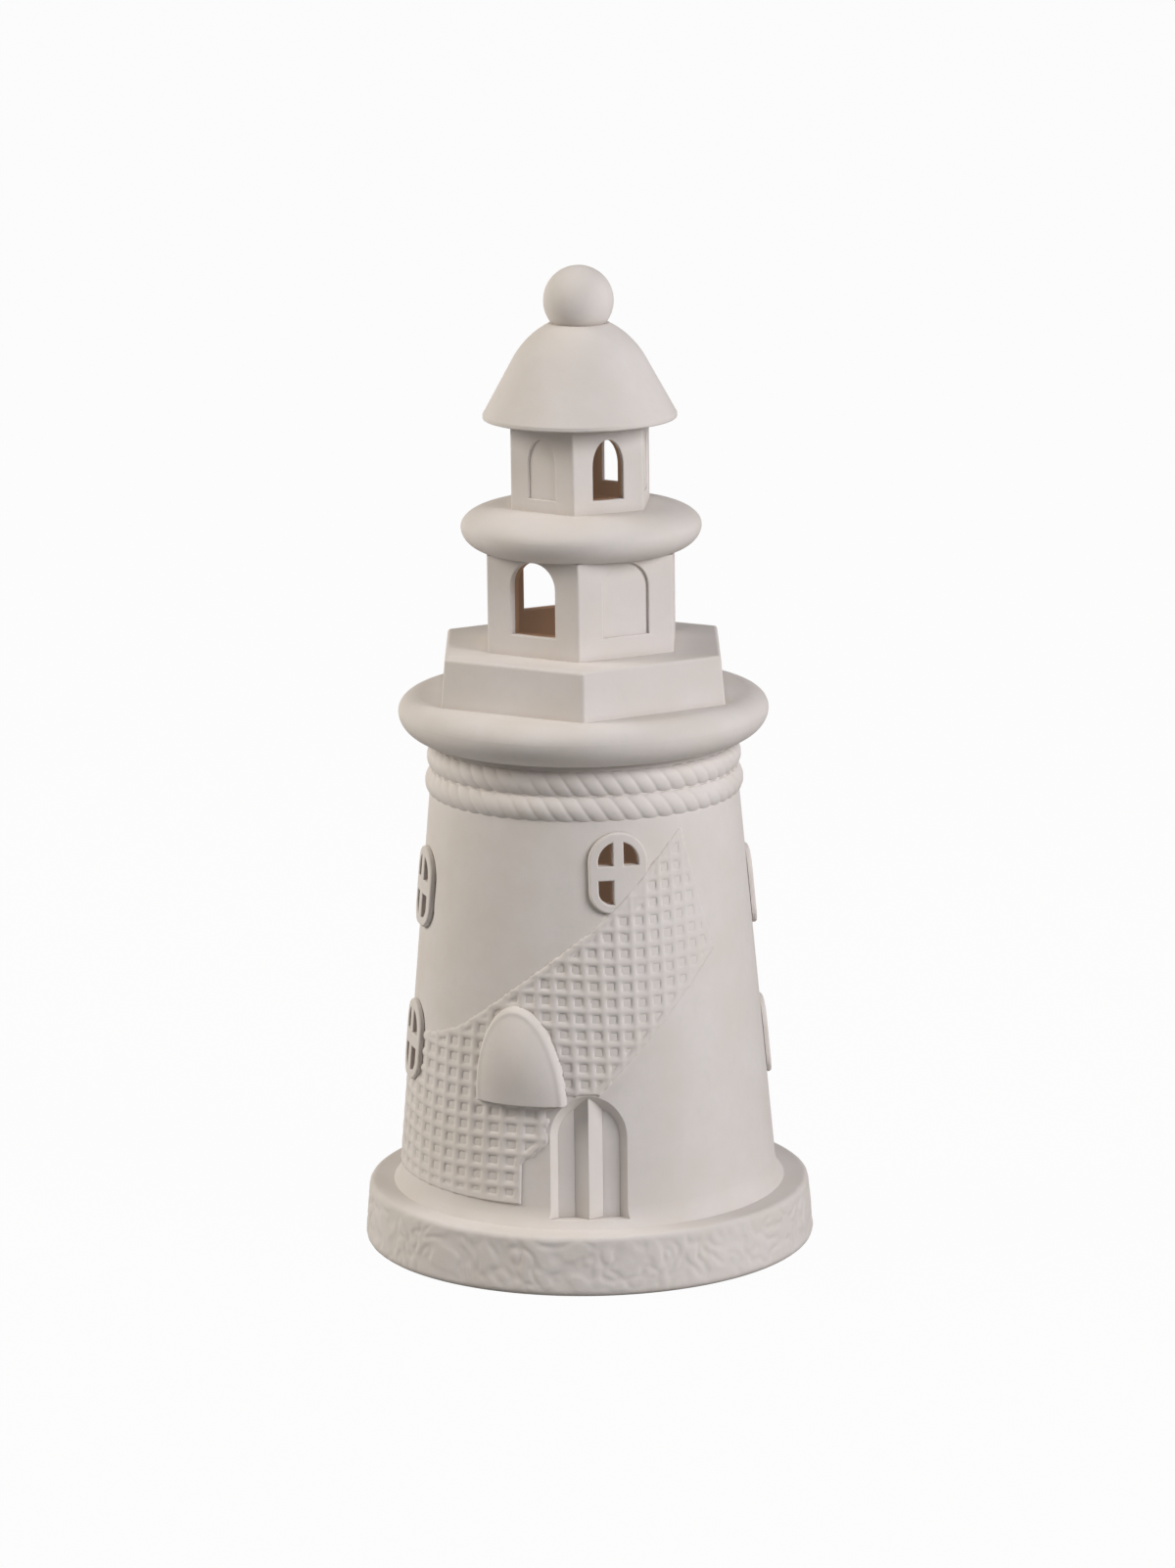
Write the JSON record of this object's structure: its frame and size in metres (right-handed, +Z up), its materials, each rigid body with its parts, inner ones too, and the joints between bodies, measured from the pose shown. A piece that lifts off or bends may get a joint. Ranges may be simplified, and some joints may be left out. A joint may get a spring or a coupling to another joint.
{
  "type": "lighthouse lantern",
  "caption": "White unglazed ceramic lighthouse lantern: a pierced, tapered tower with galleries, lantern room and bell roof lifts off a round plinth that seats a tealight.",
  "frame": {"origin": "centre of the plinth's flat underside, on the surface that the ornament stands on", "axes": "+Z up along the tower's axis, -Y towards the front, where the door is, +X to the right as seen from the front"},
  "size_m": [0.1148, 0.1148, 0.2497],
  "materials": {
    "bisque": "unglazed, matt, slightly powdery white bisque",
    "cup_aluminium": "thin drawn foil, satin",
    "wax": "white paraffin wax, softly shiny",
    "wick_cotton": "waxed cotton",
    "tab_steel": "tinned sheet"
  },
  "bodies": {
    "base": {"base_plinth": "bisque"},
    "tealight": {"tealight_cup": "cup_aluminium", "tealight_wax": "wax", "tealight_wick": "wick_cotton", "wick_tab": "tab_steel"},
    "tower": {"tower_wall": "bisque", "rope_upper": "bisque", "rope_lower": "bisque", "fishing_net": "bisque", "arched_hood": "bisque", "door_left_leaf": "bisque", "door_right_leaf": "bisque", "door_centre_post": "bisque", "window_front": "bisque", "window_right_upper": "bisque", "window_right_lower": "bisque", "window_left_upper": "bisque", "window_left_lower": "bisque", "window_back": "bisque", "main_gallery": "bisque", "hex_plinth": "bisque", "watch_room": "bisque", "upper_gallery": "bisque", "lantern_room": "bisque", "roof": "bisque", "ball_finial": "bisque"}
  },
  "joints": [
    {"name": "tower_lift", "type": "slide", "parent": "base", "child": "tower", "axis": [0, 0, 1], "range_m": [0, 0.1]},
    {"name": "tealight_lift", "type": "slide", "parent": "base", "child": "tealight", "axis": [0, 0, 1], "range_m": [0, 0.03]}
  ]
}
